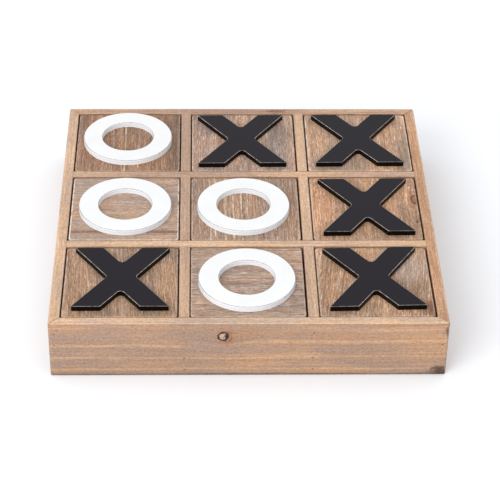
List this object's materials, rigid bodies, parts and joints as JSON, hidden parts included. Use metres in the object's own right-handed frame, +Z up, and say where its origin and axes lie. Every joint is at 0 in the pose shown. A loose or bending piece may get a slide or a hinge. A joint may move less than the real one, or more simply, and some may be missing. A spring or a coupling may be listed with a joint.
{
  "type": "tic tac toe set",
  "caption": "Square mitred wooden tray split into cells by half-lapped dividers, with loose wooden blocks that carry raised X and O letters.",
  "frame": {"origin": "centre of the underside of the tray, on the surface it stands on", "axes": "+X to the right and +Y to the back as a player reads the letters, +Z up"},
  "size_m": [0.3048, 0.3048, 0.0546],
  "materials": {
    "frame_wood": "knotty pine, light brown wash, worn pale along the arrises",
    "divider_wood": "pine, light brown wash, satin",
    "base_wood": "plywood, sealed and unstained",
    "block_wood": "softwood, grey-brown stain, sanded through to pale wood along the edges",
    "black_paint": "thin board, satin black paint rubbed through along the arrises",
    "white_paint": "thin board, satin white paint, lightly rubbed along the arrises",
    "brad_steel": "plain wire"
  },
  "bodies": {
    "tray": {"front_rail": "frame_wood", "back_rail": "frame_wood", "left_rail": "frame_wood", "right_rail": "frame_wood", "base_panel": "base_wood", "long_divider_back": "divider_wood", "long_divider_front": "divider_wood", "cross_divider_left": "divider_wood", "cross_divider_right": "divider_wood", "divider_brads": "brad_steel", "base_brads": "brad_steel", "corner_brads": "brad_steel"},
    "o_block_back_left": {"block_back_left": "block_wood", "letter_o_back_left": "white_paint"},
    "x_block_back_centre": {"block_back_centre": "block_wood", "letter_x_back_centre": "black_paint"},
    "x_block_back_right": {"block_back_right": "block_wood", "letter_x_back_right": "black_paint"},
    "o_block_middle_left": {"block_middle_left": "block_wood", "letter_o_middle_left": "white_paint"},
    "o_block_middle_centre": {"block_middle_centre": "block_wood", "letter_o_middle_centre": "white_paint"},
    "x_block_middle_right": {"block_middle_right": "block_wood", "letter_x_middle_right": "black_paint"},
    "x_block_front_left": {"block_front_left": "block_wood", "letter_x_front_left": "black_paint"},
    "o_block_front_centre": {"block_front_centre": "block_wood", "letter_o_front_centre": "white_paint"},
    "x_block_front_right": {"block_front_right": "block_wood", "letter_x_front_right": "black_paint"}
  },
  "joints": [
    {"name": "lift_back_left", "type": "slide", "parent": "tray", "child": "o_block_back_left", "axis": [0, 0, 1], "range_m": [0, 0.06]},
    {"name": "lift_back_centre", "type": "slide", "parent": "tray", "child": "x_block_back_centre", "axis": [0, 0, 1], "range_m": [0, 0.06]},
    {"name": "lift_back_right", "type": "slide", "parent": "tray", "child": "x_block_back_right", "axis": [0, 0, 1], "range_m": [0, 0.06]},
    {"name": "lift_middle_left", "type": "slide", "parent": "tray", "child": "o_block_middle_left", "axis": [0, 0, 1], "range_m": [0, 0.06]},
    {"name": "lift_middle_centre", "type": "slide", "parent": "tray", "child": "o_block_middle_centre", "axis": [0, 0, 1], "range_m": [0, 0.06]},
    {"name": "lift_middle_right", "type": "slide", "parent": "tray", "child": "x_block_middle_right", "axis": [0, 0, 1], "range_m": [0, 0.06]},
    {"name": "lift_front_left", "type": "slide", "parent": "tray", "child": "x_block_front_left", "axis": [0, 0, 1], "range_m": [0, 0.06]},
    {"name": "lift_front_centre", "type": "slide", "parent": "tray", "child": "o_block_front_centre", "axis": [0, 0, 1], "range_m": [0, 0.06]},
    {"name": "lift_front_right", "type": "slide", "parent": "tray", "child": "x_block_front_right", "axis": [0, 0, 1], "range_m": [0, 0.06]}
  ]
}
